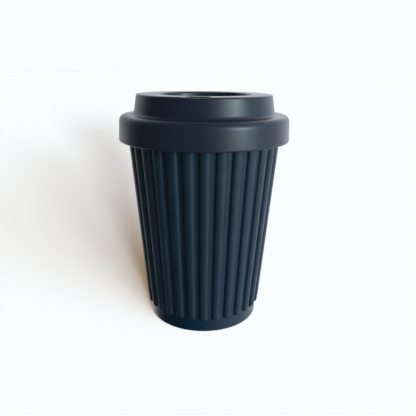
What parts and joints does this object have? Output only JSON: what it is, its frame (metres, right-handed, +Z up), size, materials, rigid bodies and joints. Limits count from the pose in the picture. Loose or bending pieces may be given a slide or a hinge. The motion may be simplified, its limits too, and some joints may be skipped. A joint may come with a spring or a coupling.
{
  "type": "reusable coffee cup with lid",
  "caption": "Tapered drinking cup with vertical ribs and a plain foot band, under a stepped push-on lid with a dished top, a sip slot and a twist knob.",
  "frame": {"origin": "centre of the foot ring's underside, on the table", "axes": "+Z up along the cup's axis, -Y towards the drinker, where the sip slot is"},
  "size_m": [0.0942, 0.0942, 0.1289],
  "materials": {
    "shell": "matte, very fine grain",
    "liner": "satin, smooth",
    "base": "matte",
    "lid": "satin matte",
    "knob": "satin matte",
    "rotor": "satin matte",
    "silicone": "matte silicone",
    "steel": "brushed"
  },
  "bodies": {
    "cup": {"outer_shell": "shell", "inner_cup": "liner", "wall_seal": "silicone", "base_cap": "base", "foot_ring": "silicone"},
    "lid": {"lid_shell": "lid", "lid_seal": "silicone"},
    "closure": {"closure_knob": "knob", "shaft_seal": "silicone", "closure_rotor": "rotor", "shutter_pad": "silicone", "rotor_clip": "steel"}
  },
  "joints": [
    {"name": "lid_lift", "type": "slide", "parent": "cup", "child": "lid", "axis": [0, 0, 1], "range_m": [0, 0.06]},
    {"name": "closure_turn", "type": "hinge", "parent": "lid", "child": "closure", "pos_m": [0, 0, 0.1204], "axis": [0, 0, 1], "range_deg": [0, 50]}
  ]
}
